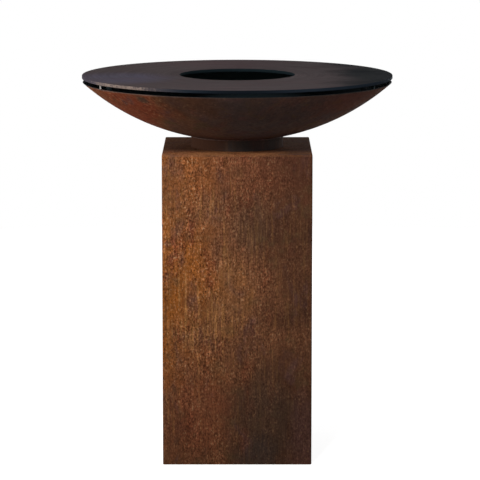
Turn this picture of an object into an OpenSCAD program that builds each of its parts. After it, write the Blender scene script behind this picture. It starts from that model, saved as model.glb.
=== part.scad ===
// Plancha fire bowl on a square weathering-steel pedestal.
// The frame has its origin on the ground under the centre of the pedestal, +Z is up,
// the closed front of the pedestal faces -Y and the access door at the back faces +Y.

/* [Pedestal] */
// Side of the square pedestal
pedestal_w = 400; // [340:5:480]
// Height of the pedestal's top face above the ground
pedestal_h = 840; // [600:10:950]
// Thickness of the folded pedestal sheet
sheet_t = 3; // [2:0.5:4]
// Outside radius of the pedestal's vertical bends
bend_r = 5; // [4.5:0.5:9]
// Thickness of the top plate
top_t = 4; // [3:0.5:6]
// Rounding of the top plate's upper edge
top_edge_r = 2; // [0.5:0.5:2]
// Radius of the drain opening in the top plate
top_drain_r = 25; // [15:1:45]
// Width of the two strips that the sheet turns in at the back
stile_w = 30; // [28:1:50]
// Height of the crosspiece above the door
header_h = 60; // [40:5:120]
// Height of the crosspiece under the door, above the base plate
sill_rise = 10; // [6:1:60]
// Depth of the lips on both crosspieces
lip_d = 20; // [10:1:30]

/* [Base and levelling feet] */
// Height of the base plate's underside above the ground
base_z = 46; // [40:1:80]
// Thickness of the base plate
base_t = 4; // [3:0.5:6]
// Radius of the drain holes in the base plate
base_drain_r = 9; // [5:1:20]
// Distance of each drain hole from the base plate's centre
base_drain_offset = 60; // [30:5:100]
// Distance of each foot's axis from the pedestal's outside faces
foot_inset = 55; // [45:1:90]
// Radius of a foot pad
pad_r = 24; // [18:1:30]
// Height of a foot pad
pad_h = 12; // [11:0.5:16]
// Height of the upright edge round a foot pad
pad_edge_h = 4; // [2:0.5:8]
// Radius of a foot's threaded stem
stem_r = 5; // [4:0.5:6]
// Radius of the collar that a pad holds captive
swivel_r = 9; // [8:0.5:12]
// Thickness of the collar that a pad holds captive
swivel_t = 4; // [3:0.5:5]
// Thickness of the pad under the captive collar
pad_sole_t = 3; // [2:0.5:4]
// How far a foot screws out
foot_travel = 20; // [10:1:30]
// Width across flats of a weld nut
nut_af = 17; // [15:0.5:22]
// Height of a weld nut
nut_h = 10; // [6:0.5:14]
// Width across flats of the drive on a stem's upper end
drive_af = 7; // [5:0.5:7.5]
// Length of the drive on a stem's upper end
drive_l = 8; // [5:1:12]
// Thread left above the weld nut when a foot is screwed right out
thread_spare = 2; // [1:0.5:6]

/* [Access door] */
// Thickness of the door sheet
door_t = 2.5; // [2:0.5:3]
// Gap around the door
door_gap = 3; // [2:0.5:5]
// Depth of the door's folded edges
door_return = 12; // [8:1:15]
// Distance of the knob's axis from the door's free edge
knob_inset = 30; // [25:1:60]
// Height of the knob's axis above the ground
knob_z = 520; // [480:5:560]
// Radius of the knob
knob_r = 13; // [10:1:18]
// Length of the knob's head
knob_head_l = 12; // [8:1:20]
// Radius of the knob's neck
knob_neck_r = 7; // [5:0.5:9]
// Length of the knob's neck
knob_neck_l = 10; // [6:1:16]
// Radius of the knob's screw
knob_screw_r = 2.5; // [2:0.5:3]

/* [Hinges] */
// Distance from a hinge's centre to the nearer end of the door
hinge_end = 110; // [60:5:180]
// Height of a hinge
hinge_h = 70; // [50:1:100]
// Width of a leaf, from the hinge axis
leaf_w = 22; // [16:1:24]
// Thickness of a leaf
leaf_t = 2.5; // [2:0.5:3]
// Outside radius of a knuckle
knuckle_r = 6; // [5:0.5:8]
// Radius of a hinge pin
hinge_pin_r = 3; // [2:0.5:3.5]
// Radius of a hinge pin's head
hinge_pin_head_r = 4.5; // [4:0.5:6]
// Height of a hinge pin's head
hinge_pin_head_h = 2; // [1:0.5:4]

/* [Magnet catch] */
// Height of the catch's centre above the ground
catch_z = 420; // [380:5:460]
// Height of the catch bracket
catch_h = 36; // [24:1:50]
// Reach of the catch bracket from the pedestal's side
catch_reach = 80; // [70:1:110]
// Depth of the bracket's foot on the pedestal's side
catch_foot_d = 24; // [15:1:40]
// Clearance between the bracket and the door's folded edge
catch_clear = 5; // [2:0.5:10]
// Width of the magnet block
magnet_w = 36; // [24:1:40]
// Height of the magnet block
magnet_h = 18; // [14:1:24]
// Radius of the catch's screws
catch_screw_r = 2; // [1.5:0.5:2.5]
// Spacing of the catch's screws
catch_screw_pitch = 22; // [12:1:28]

/* [Fire bowl] */
// Outside radius of the sphere that the bowl is a cap of
bowl_r = 630; // [560:5:800]
// Thickness of the bowl sheet
bowl_t = 3; // [2:0.5:5]
// Height of the bowl's lowest point above the pedestal
bowl_rise = 18; // [16:1:40]
// Radius of the drain hole in the bowl
bowl_drain_r = 8; // [5:1:15]
// Outside radius of the collar under the bowl
collar_r = 125; // [95:5:150]
// Wall thickness of the collar
collar_t = 4; // [3:0.5:6]
// Number of fixing lugs in the collar
lug_count = 3; // [3:1:6]
// Width of a fixing lug
lug_w = 40; // [28:1:50]
// Length of a fixing lug, from the collar's wall inwards
lug_l = 36; // [30:1:44]
// Thickness of a fixing lug
lug_t = 6; // [5:0.5:8]
// Distance of a lug's bolt from the collar's wall
lug_bolt_inset = 21; // [18:0.5:22]

/* [Fixing bolts] */
// Radius of the fixing bolts' shanks
bolt_r = 4; // [3:0.5:5]
// Length of the fixing bolts' shanks
bolt_l = 20; // [18:1:22]
// Width across flats of the fixing bolts' heads
bolt_af = 13; // [11:0.5:16]
// Height of the fixing bolts' heads
bolt_head_h = 5.3; // [4:0.1:7]
// Outside radius of the washers
washer_r = 8; // [7:0.5:10]
// Thickness of the washers
washer_t = 1.6; // [1:0.1:2.5]

/* [Plancha plate] */
// Diameter of the plancha plate
plate_d = 840; // [700:10:950]
// Thickness of the plancha plate
plate_t = 8; // [6:0.5:12]
// Diameter of the fire opening in the plate
plate_hole_d = 312; // [200:2:400]
// Rounding of the plate's outer edges
plate_edge_r = 1; // [0.5:0.25:2]
// How far the bowl's rim lies inside the plate's edge
rim_inset = 2; // [0:0.5:20]
// Height of the air gap between the bowl's rim and the plate
air_gap = 10.5; // [6:0.5:25]
// Number of stand-off pins under the plate
pin_count = 3; // [3:1:8]
// Radius of a stand-off pin
pin_r = 2.5; // [2:0.25:4]
// Width of a centring guide
guide_w = 30; // [20:1:50]
// Thickness of a centring guide
guide_t = 4; // [3:0.5:6]
// Height of a centring guide below the plate
guide_h = 25; // [15:1:40]
// Side play between a centring guide and the bowl
guide_play = 6; // [2:0.5:12]

/* [Clearances] */
// Gap between welded pieces whose faces are curved or meet edge to edge
weld_gap = 0.2; // [0.1:0.05:0.3]
// Radial clearance of a pin or thread that turns
running_gap = 0.05; // [0.02:0.01:0.1]
// End clearance between pieces that turn against each other
end_gap = 0.3; // [0.2:0.05:0.5]
// Radial clearance of a bolt in a plain hole
bolt_gap = 0.5; // [0.3:0.1:1]
// Gap under a piece that rests on another and lifts off
rest_gap = 0.05; // [0.02:0.01:0.1]
// Rest gap between the magnet and the door
magnet_gap = 0.3; // [0.2:0.05:0.5]

/* [Hidden] */
$fn = 96;

// Steps round the pieces that are larger than a hand, and round the bowl's own sphere
large_fn = 240;
sphere_fn = 720;

// Cuts run this far past the faces that they open.
cut_over = 1;

// A screw's head is this many times as wide as its shank.
screw_head_ratio = 1.8;

// Pedestal faces
half_w = pedestal_w / 2;
inside_half = half_w - sheet_t;
top_z = pedestal_h - top_t;
base_top_z = base_z + base_t;

// Opening at the back, between the turned-in strips and the two crosspieces
opening_half = half_w - stile_w;
opening_low_z = base_top_z + sill_rise + sheet_t;
opening_high_z = top_z - header_h;

// Door in its opening, with its outside face flush with the pedestal
door_half = opening_half - door_gap;
door_low_z = opening_low_z + door_gap;
door_high_z = opening_high_z - door_gap;
door_h = door_high_z - door_low_z;
door_inside_y = half_w - door_t;

// Hinges stand on the outside face, with their axis over the gap beside the door
hinge_x = opening_half - door_gap / 2;
hinge_y = half_w + knuckle_r;
knuckle_h = hinge_h / 3;
hinge_centres = [door_low_z + hinge_end, door_high_z - hinge_end];

// Magnet catch on the free side of the door
catch_face_y = half_w - door_return - catch_clear;
magnet_depth = door_inside_y - magnet_gap - catch_face_y;
magnet_x = catch_reach - inside_half - magnet_w / 2;
catch_screw_head_r = catch_screw_r * screw_head_ratio;
catch_screw_head_h = catch_screw_r;
catch_screw_bite = magnet_depth / 2;

// Knob
knob_x = knob_inset - door_half;
knob_screw_head_r = knob_screw_r * screw_head_ratio;
knob_screw_head_h = knob_screw_r;
knob_screw_bite = knob_neck_l;

// Levelling feet
foot_pitch = half_w - foot_inset;
thread_top_z = base_top_z + nut_h + foot_travel + thread_spare;

// Bowl: a spherical cap whose lowest point clears the pedestal
bowl_centre_z = pedestal_h + bowl_rise + bowl_r;
bowl_inner_r = bowl_r - bowl_t;
rim_r = plate_d / 2 - rim_inset;
rim_drop = sqrt(pow(bowl_r, 2) - pow(rim_r, 2));
rim_z = bowl_centre_z - rim_drop;
rim_inner_r = sqrt(pow(bowl_inner_r, 2) - pow(rim_drop, 2));

// Collar and its fixing lugs
collar_inner_r = collar_r - collar_t;
collar_reach_z = bowl_centre_z - sqrt(pow(bowl_r, 2) - pow(collar_r, 2));
lug_bolt_r = collar_inner_r - lug_bolt_inset;
bolt_seat_z = top_z - washer_t;

// Plate above the rim
plate_r = plate_d / 2;
plate_low_z = rim_z + air_gap;
pin_circle_r = (rim_r + rim_inner_r) / 2;
guide_low_z = plate_low_z - guide_h;
guide_wall_r = sqrt(pow(bowl_inner_r, 2) - pow(bowl_centre_z - guide_low_z, 2));
guide_face_r = guide_wall_r - guide_play;

// The pieces spaced evenly round the axis start at the back, at +Y.
start_angle = 90;

// Colours as weathered steel, blackened plate and bright fasteners show them
rust = [0.42, 0.24, 0.14];
rust_dark = [0.28, 0.19, 0.14];
black_steel = [0.25, 0.23, 0.24];
bright_steel = [0.66, 0.66, 0.67];
black_plastic = [0.08, 0.08, 0.08];

// A square outline with round corners
module round_square(side, radius) {
    square([side - 2 * radius, side], center = true);
    square([side, side - 2 * radius], center = true);
    for (sx = [-1, 1], sy = [-1, 1])
        translate([sx * (side / 2 - radius), sy * (side / 2 - radius)])
            circle(r = radius);
}

// The section of a plate whose two upper edges are round
module eased_section(width, thickness, radius) {
    translate([-width / 2, 0])
        square([width, thickness - radius]);
    translate([radius - width / 2, 0])
        square([width - 2 * radius, thickness]);
    for (s = [-1, 1])
        translate([s * (width / 2 - radius), thickness - radius])
            circle(r = radius);
}

// A square plate with round corners and a rounded upper edge
module eased_plate(side, thickness, corner_r, edge_r) {
    straight = side - 2 * corner_r;
    for (turn = [0, 90])
        rotate([90, 0, turn])
            translate([0, 0, -straight / 2])
                linear_extrude(straight)
                    eased_section(side, thickness, edge_r);
    for (sx = [-1, 1], sy = [-1, 1])
        translate([sx * straight / 2, sy * straight / 2, 0])
            rotate_extrude()
                intersection() {
                    eased_section(2 * corner_r, thickness, edge_r);
                    square([corner_r, thickness]);
                }
}

// Copies its children at equal angles, the first one at the back
module spaced_round(count) {
    for (i = [0:count - 1])
        rotate([0, 0, start_angle + i * 360 / count])
            children();
}

// A hexagonal prism by its width across flats
module hex_prism(across_flats, height) {
    cylinder(r = across_flats / sqrt(3), h = height, $fn = 6);
}

// Folded sheet: front, both sides and the strips turned in at the back
module pedestal_shell() {
    color(rust)
        linear_extrude(top_z)
            difference() {
                round_square(pedestal_w, bend_r);
                round_square(2 * inside_half, bend_r - sheet_t);
                translate([-opening_half, 0])
                    square([2 * opening_half, half_w + cut_over]);
            }
}

// Top plate, welded on the sheet's upper edge and eased all round
module pedestal_top() {
    color(rust)
        translate([0, 0, top_z])
            difference() {
                eased_plate(pedestal_w, top_t, bend_r, top_edge_r);
                translate([0, 0, -cut_over])
                    cylinder(r = top_drain_r, h = top_t + 2 * cut_over);
                spaced_round(lug_count)
                    translate([lug_bolt_r, 0, -cut_over])
                        cylinder(r = bolt_r + bolt_gap, h = top_t + 2 * cut_over);
            }
}

// An angle between the strips at the back: a plate, and a lip on the door's side
module crosspiece(low_z, high_z, lip_z) {
    width = 2 * (opening_half - weld_gap);
    translate([-width / 2, inside_half, low_z])
        cube([width, sheet_t, high_z - low_z]);
    translate([-width / 2, half_w - lip_d, lip_z])
        cube([width, lip_d, sheet_t]);
}

module rear_header() {
    color(rust)
        crosspiece(opening_high_z, top_z, opening_high_z);
}

module rear_sill() {
    color(rust)
        crosspiece(0, opening_low_z, opening_low_z - sheet_t);
}

// Base plate inside the sheet, which carries the feet
module base_plate() {
    color(rust_dark)
        translate([0, 0, base_z])
            linear_extrude(base_t)
                difference() {
                    round_square(2 * (inside_half - weld_gap), bend_r - sheet_t);
                    for (sx = [-1, 1], sy = [-1, 1]) {
                        translate([sx * foot_pitch, sy * foot_pitch])
                            circle(r = stem_r + bolt_gap);
                        translate([sx * base_drain_offset, sy * base_drain_offset])
                            circle(r = base_drain_r);
                    }
                }
}

// Weld nuts on the base plate, one over each foot
module foot_weld_nuts() {
    color(bright_steel)
        for (sx = [-1, 1], sy = [-1, 1])
            translate([sx * foot_pitch, sy * foot_pitch, base_top_z])
                difference() {
                    hex_prism(nut_af, nut_h);
                    translate([0, 0, -cut_over])
                        cylinder(r = stem_r + running_gap, h = nut_h + 2 * cut_over);
                }
}

// Foot pad: a disc with a neck that holds the stem's collar captive
module foot_pad(side_x, side_y) {
    color(black_plastic)
        translate([side_x * foot_pitch, side_y * foot_pitch, 0])
            difference() {
                rotate_extrude()
                    polygon([
                        [0, 0],
                        [pad_r, 0],
                        [pad_r, pad_edge_h],
                        [swivel_r + pad_sole_t, pad_h],
                        [0, pad_h],
                    ]);
                translate([0, 0, pad_sole_t - end_gap])
                    cylinder(r = swivel_r + end_gap, h = swivel_t + 2 * end_gap);
                translate([0, 0, pad_sole_t])
                    cylinder(r = stem_r + running_gap, h = pad_h);
            }
}

// Foot stem: a captive collar, a threaded stem and a hexagonal drive
module foot_stem(side_x, side_y) {
    color(bright_steel)
        translate([side_x * foot_pitch, side_y * foot_pitch, 0]) {
            translate([0, 0, pad_sole_t])
                cylinder(r = swivel_r, h = swivel_t);
            translate([0, 0, pad_sole_t])
                cylinder(r = stem_r, h = thread_top_z - pad_sole_t);
            translate([0, 0, thread_top_z])
                hex_prism(drive_af, drive_l);
        }
}

// A hinge leaf flat on the outside face, with the knuckles that belong to it.
// side_x is 1 for the leaf on the frame and -1 for the leaf on the door.
module hinge_leaf(side_x, own_knuckles) {
    difference() {
        union() {
            translate([side_x > 0 ? 0 : -leaf_w, -knuckle_r, -hinge_h / 2])
                cube([leaf_w, leaf_t, hinge_h]);
            for (k = own_knuckles)
                translate([0, 0, k * knuckle_h - knuckle_h / 2])
                    cylinder(r = knuckle_r, h = knuckle_h);
        }
        for (k = [-1, 0, 1])
            if (len(search(k, own_knuckles)) == 0)
                translate([0, 0, k * knuckle_h - knuckle_h / 2 - end_gap])
                    cylinder(r = knuckle_r + end_gap, h = knuckle_h + 2 * end_gap);
        translate([0, 0, -hinge_h / 2 - cut_over])
            cylinder(r = hinge_pin_r + running_gap, h = hinge_h + 2 * cut_over);
    }
}

// Frame leaves of both hinges, with their upper and lower knuckles
module hinge_frame_leaves() {
    color(rust_dark)
        for (z = hinge_centres)
            translate([hinge_x, hinge_y, z])
                hinge_leaf(1, [-1, 1]);
}

// Door leaves of both hinges, with their middle knuckles
module hinge_door_leaves() {
    color(rust_dark)
        for (z = hinge_centres)
            translate([hinge_x, hinge_y, z])
                hinge_leaf(-1, [0]);
}

// Hinge pins, dropped in from above and resting on their heads
module hinge_pins() {
    color(bright_steel)
        for (z = hinge_centres)
            translate([hinge_x, hinge_y, z - hinge_h / 2]) {
                cylinder(r = hinge_pin_r, h = hinge_h + hinge_pin_head_h);
                translate([0, 0, hinge_h])
                    cylinder(r = hinge_pin_head_r, h = hinge_pin_head_h);
            }
}

// Holes through the catch bracket and into the magnet block, along Y
module catch_screw_axes() {
    for (s = [-1, 1])
        translate([magnet_x + s * catch_screw_pitch / 2, catch_face_y - sheet_t, catch_z])
            rotate([-90, 0, 0])
                children();
}

// Angle bracket from the pedestal's side to behind the door's free edge
module catch_bracket() {
    color(rust_dark)
        difference() {
            translate([-inside_half, 0, catch_z - catch_h / 2]) {
                translate([0, catch_face_y - sheet_t, 0])
                    cube([catch_reach, sheet_t, catch_h]);
                translate([0, catch_face_y - catch_foot_d, 0])
                    cube([sheet_t, catch_foot_d, catch_h]);
            }
            translate([0, -cut_over, 0])
                catch_screw_axes()
                    cylinder(r = catch_screw_r + running_gap, h = sheet_t + 2 * cut_over);
        }
}

// Magnet block on the bracket, just clear of the closed door
module catch_magnet() {
    color(black_plastic)
        difference() {
            translate([magnet_x - magnet_w / 2, catch_face_y, catch_z - magnet_h / 2])
                cube([magnet_w, magnet_depth, magnet_h]);
            catch_screw_axes()
                cylinder(r = catch_screw_r + running_gap, h = sheet_t + catch_screw_bite + end_gap);
        }
}

// Screws that hold the magnet block on its bracket
module catch_screws() {
    color(bright_steel)
        catch_screw_axes() {
            cylinder(r = catch_screw_r, h = sheet_t + catch_screw_bite);
            translate([0, 0, -catch_screw_head_h])
                cylinder(r = catch_screw_head_r, h = catch_screw_head_h);
        }
}

// Collar under the bowl, its upper edge cut to the bowl's curve
module bowl_collar() {
    color(rust_dark)
        difference() {
            translate([0, 0, pedestal_h])
                cylinder(r = collar_r, h = collar_reach_z - pedestal_h);
            translate([0, 0, pedestal_h - cut_over])
                cylinder(r = collar_inner_r, h = collar_reach_z - pedestal_h + 2 * cut_over);
            translate([0, 0, bowl_centre_z])
                sphere(r = bowl_r + weld_gap, $fn = large_fn);
        }
}

// Fixing lugs inside the collar, each with a tapped hole
module bowl_lugs() {
    color(rust_dark)
        translate([0, 0, pedestal_h])
            intersection() {
                cylinder(r = collar_inner_r - weld_gap, h = lug_t);
                spaced_round(lug_count)
                    difference() {
                        translate([collar_inner_r - lug_l, -lug_w / 2, 0])
                            cube([lug_l, lug_w, lug_t]);
                        translate([lug_bolt_r, 0, -cut_over])
                            cylinder(r = bolt_r + running_gap, h = lug_t + 2 * cut_over);
                    }
            }
}

// Bolts that clamp the lugs to the top plate from inside the pedestal
module bowl_bolts() {
    color(bright_steel)
        spaced_round(lug_count)
            translate([lug_bolt_r, 0, bolt_seat_z]) {
                cylinder(r = bolt_r, h = bolt_l);
                translate([0, 0, -bolt_head_h])
                    hex_prism(bolt_af, bolt_head_h);
            }
}

module bowl_washers() {
    color(bright_steel)
        spaced_round(lug_count)
            translate([lug_bolt_r, 0, bolt_seat_z])
                difference() {
                    cylinder(r = washer_r, h = washer_t);
                    translate([0, 0, -cut_over])
                        cylinder(r = bolt_r + running_gap, h = washer_t + 2 * cut_over);
                }
}

// Fire bowl: a spherical cap of even sheet, cut level at the rim
module fire_bowl() {
    color(rust)
        translate([0, 0, bowl_centre_z])
            rotate_extrude($fn = large_fn)
                difference() {
                    intersection() {
                        circle(r = bowl_r, $fn = sphere_fn);
                        translate([bowl_drain_r, -bowl_r])
                            square([bowl_r, bowl_r - rim_drop]);
                    }
                    circle(r = bowl_inner_r, $fn = sphere_fn);
                }
}

// Door: a sheet with its four edges folded inwards
module rear_door() {
    width = 2 * door_half;
    color(rust)
        difference() {
            translate([-door_half, half_w - door_return, door_low_z])
                cube([width, door_return, door_h]);
            translate([door_t - door_half, half_w - door_return - cut_over, door_low_z + door_t])
                cube([width - 2 * door_t, door_return - door_t + cut_over, door_h - 2 * door_t]);
            translate([knob_x, half_w + cut_over, knob_z])
                rotate([90, 0, 0])
                    cylinder(r = knob_screw_r + bolt_gap, h = door_t + 2 * cut_over);
        }
}

// Turned knob on the door's outside face
module door_knob() {
    color(bright_steel)
        translate([knob_x, half_w, knob_z])
            rotate([-90, 0, 0])
                difference() {
                    union() {
                        cylinder(r = knob_neck_r, h = knob_neck_l);
                        translate([0, 0, knob_neck_l])
                            cylinder(r = knob_r, h = knob_head_l);
                    }
                    translate([0, 0, -cut_over])
                        cylinder(r = knob_screw_r + running_gap, h = knob_screw_bite + end_gap + cut_over);
                }
}

// Screw that holds the knob from inside the door
module door_knob_screw() {
    color(bright_steel)
        translate([knob_x, door_inside_y, knob_z])
            rotate([-90, 0, 0]) {
                cylinder(r = knob_screw_r, h = door_t + knob_screw_bite);
                translate([0, 0, -knob_screw_head_h])
                    cylinder(r = knob_screw_head_r, h = knob_screw_head_h);
            }
}

// Plancha plate: a flat ring with eased outer edges
module plancha_plate() {
    color(black_steel)
        translate([0, 0, plate_low_z])
            difference() {
                rotate_extrude($fn = large_fn) {
                    translate([0, plate_edge_r])
                        square([plate_r, plate_t - 2 * plate_edge_r]);
                    square([plate_r - plate_edge_r, plate_t]);
                    for (z = [plate_edge_r, plate_t - plate_edge_r])
                        translate([plate_r - plate_edge_r, z])
                            circle(r = plate_edge_r);
                }
                translate([0, 0, -cut_over])
                    cylinder(d = plate_hole_d, h = plate_t + 2 * cut_over, $fn = large_fn);
            }
}

// Stand-off pins under the plate, which rest on the bowl's rim
module plate_standoff_pins() {
    color(bright_steel)
        spaced_round(pin_count)
            translate([pin_circle_r, 0, rim_z + rest_gap])
                cylinder(r = pin_r, h = air_gap - rest_gap);
}

// Centring guides under the plate, one behind each pin, which hang inside the bowl's rim
module plate_centring_guides() {
    color(black_steel)
        spaced_round(pin_count)
            translate([guide_face_r - guide_t, -guide_w / 2, guide_low_z])
                cube([guide_t, guide_w, guide_h]);
}

pedestal_shell();
pedestal_top();
rear_header();
rear_sill();
base_plate();
foot_weld_nuts();
hinge_frame_leaves();
hinge_pins();
catch_bracket();
catch_magnet();
catch_screws();
bowl_collar();
bowl_lugs();
bowl_bolts();
bowl_washers();
fire_bowl();
rear_door();
hinge_door_leaves();
door_knob();
door_knob_screw();
plancha_plate();
plate_standoff_pins();
plate_centring_guides();
foot_pad(-1, -1);  // foot_pad_front_left
foot_pad(1, -1);  // foot_pad_front_right
foot_pad(-1, 1);  // foot_pad_rear_left
foot_pad(1, 1);  // foot_pad_rear_right
foot_stem(-1, -1);  // foot_stem_front_left
foot_stem(1, -1);  // foot_stem_front_right
foot_stem(-1, 1);  // foot_stem_rear_left
foot_stem(1, 1);  // foot_stem_rear_right
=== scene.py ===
"""Plancha fire bowl on a weathering-steel pedestal: the pieces that show, their finishes and the studio."""
import math

import bmesh
import bpy
from bpy.props import FloatProperty, FloatVectorProperty, IntProperty, PointerProperty
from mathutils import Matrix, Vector


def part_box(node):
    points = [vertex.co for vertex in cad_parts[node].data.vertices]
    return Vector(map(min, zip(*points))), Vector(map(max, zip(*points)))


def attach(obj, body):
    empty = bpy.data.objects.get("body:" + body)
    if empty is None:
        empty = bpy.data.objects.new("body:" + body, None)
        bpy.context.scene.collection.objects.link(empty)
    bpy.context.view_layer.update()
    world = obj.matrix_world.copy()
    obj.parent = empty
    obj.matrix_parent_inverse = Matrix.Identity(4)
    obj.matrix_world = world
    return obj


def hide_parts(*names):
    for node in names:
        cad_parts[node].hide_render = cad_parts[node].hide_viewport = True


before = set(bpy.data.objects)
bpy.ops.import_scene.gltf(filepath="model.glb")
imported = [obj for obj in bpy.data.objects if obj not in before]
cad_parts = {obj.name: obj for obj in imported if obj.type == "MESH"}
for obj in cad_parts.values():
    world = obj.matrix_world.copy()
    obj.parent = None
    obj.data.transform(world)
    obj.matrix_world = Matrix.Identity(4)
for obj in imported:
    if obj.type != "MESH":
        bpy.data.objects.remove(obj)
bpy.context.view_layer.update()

bl_info = {
    "name": "Plancha Fire Bowl",
    "version": (1, 0, 0),
    "blender": (4, 5, 0),
    "location": "3D View > Sidebar > Plancha",
    "description": "Models a plancha fire bowl on its pedestal, with its finishes and a studio",
    "category": "Object",
}

MM = 0.001
FULL_TURN = 2 * math.pi
SAME_POINT = MM / 500
NEAR = MM / 10


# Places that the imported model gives

def low(node):
    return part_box(node)[0]


def high(node):
    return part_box(node)[1]


def written(value):
    """A length as it is written on a drawing, to a hundredth of a millimetre."""
    return round(value, 5)


CORNERS = {
    "front_left": (-1, -1),
    "front_right": (1, -1),
    "rear_left": (-1, 1),
    "rear_right": (1, 1),
}
HALF_SIDE = written(high("pedestal_shell").x)
SHELL_TOP = written(high("pedestal_shell").z)
PEDESTAL_TOP = written(high("pedestal_top").z)
FLOOR_PLATE_TOP = written(high("base_plate").z)
DOOR_LOW = low("rear_door")
DOOR_HIGH = high("rear_door")
RIM_TOP = written(high("fire_bowl").z)
PLATE_UNDER = written(low("plancha_plate").z)
PLATE_TOP = written(high("plancha_plate").z)
PLATE_RADIUS = round(high("plancha_plate").x, 3)
FOOT_CENTRE = written((low("foot_stem_front_right").x + high("foot_stem_front_right").x) / 2)


# Sizes and colours that a user would change

def length(name, description, default, smallest=0.0):
    return FloatProperty(name=name, description=description, default=default, min=smallest,
                         unit="LENGTH", subtype="DISTANCE", precision=5)


def colour(name, description, default):
    return FloatVectorProperty(name=name, description=description, default=default, size=3,
                               min=0.0, max=1.0, subtype="COLOR")


def count(name, description, default, smallest):
    return IntProperty(name=name, description=description, default=default, min=smallest)


def power(name, description, default):
    return FloatProperty(name=name, description=description, default=default, unit="POWER")


class PedestalSizes(bpy.types.PropertyGroup):
    sheet: length("Sheet", "Thickness of the folded sheet", 3 * MM)
    bend: length("Bend", "Outside radius of the upright bends", 5 * MM)
    strip: length("Strip", "Width of the strips turned in at the back", 30 * MM)
    top_round: length("Top edge", "Rounding of the top plate's upper edge", 2 * MM)
    cut_edge: length("Cut edge", "Easing of edges that were cut and brushed", 0.4 * MM)
    drain: length("Drain", "Radius of the drain opening in the top plate", 25 * MM)
    bolt_hole: length("Bolt hole", "Radius of the fixing bolts' holes", 4.5 * MM)
    bolt_circle: length("Bolt circle", "Distance of the fixing bolts from the middle", 100 * MM)
    door_sheet: length("Door sheet", "Thickness of the door", 2.5 * MM)
    door_fold: length("Door fold", "Outside radius of the door's folds", 3 * MM)


class BowlSizes(bpy.types.PropertyGroup):
    sphere: length("Sphere", "Outside radius of the sphere that the bowl is cut from", 630 * MM)
    sheet: length("Sheet", "Thickness of the bowl", 3 * MM)
    drain: length("Drain", "Radius of the bowl's drain hole", 8 * MM)
    rise: length("Rise", "Height of the bowl's lowest point over the pedestal", 18 * MM)
    rim_ease: length("Rim edge", "Easing of the rim's two edges", 0.5 * MM)
    collar: length("Collar", "Outside radius of the collar", 125 * MM)
    collar_wall: length("Collar wall", "Wall thickness of the collar", 4 * MM)
    steps: count("Steps", "Faces round the bowl", 256, 48)


class PlateSizes(bpy.types.PropertyGroup):
    opening: length("Opening", "Radius of the fire opening", 156 * MM)
    edge: length("Edge", "Rounding of the plate's outer edges", 1 * MM)
    lip: length("Lip", "Easing round the fire opening", 0.6 * MM)
    pin: length("Pin", "Radius of a stand-off pin", 2.5 * MM)
    pin_circle: length("Pin circle", "Distance of the stand-off pins from the middle", 415.7 * MM)
    steps: count("Steps", "Faces round the plate", 288, 48)


class HardwareSizes(bpy.types.PropertyGroup):
    foot_stem: length("Foot stem", "Outside radius of a levelling foot's thread", 5 * MM)
    foot_pitch: length("Foot thread pitch", "Advance of a foot's thread in one turn", 1.5 * MM)
    bolt: length("Bolt", "Outside radius of a fixing bolt's thread", 4 * MM)
    bolt_pitch: length("Bolt thread pitch", "Advance of a bolt's thread in one turn", 1.25 * MM)
    knob: length("Knob", "Radius of the door's knob", 13 * MM)
    flutes: count("Flutes", "Grip flutes round the knob", 24, 6)
    weld: length("Weld bead", "Radius of a weld bead", 1.6 * MM)
    ripple: length("Weld ripple", "Distance between the ripples of a weld bead", 1.8 * MM)


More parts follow.
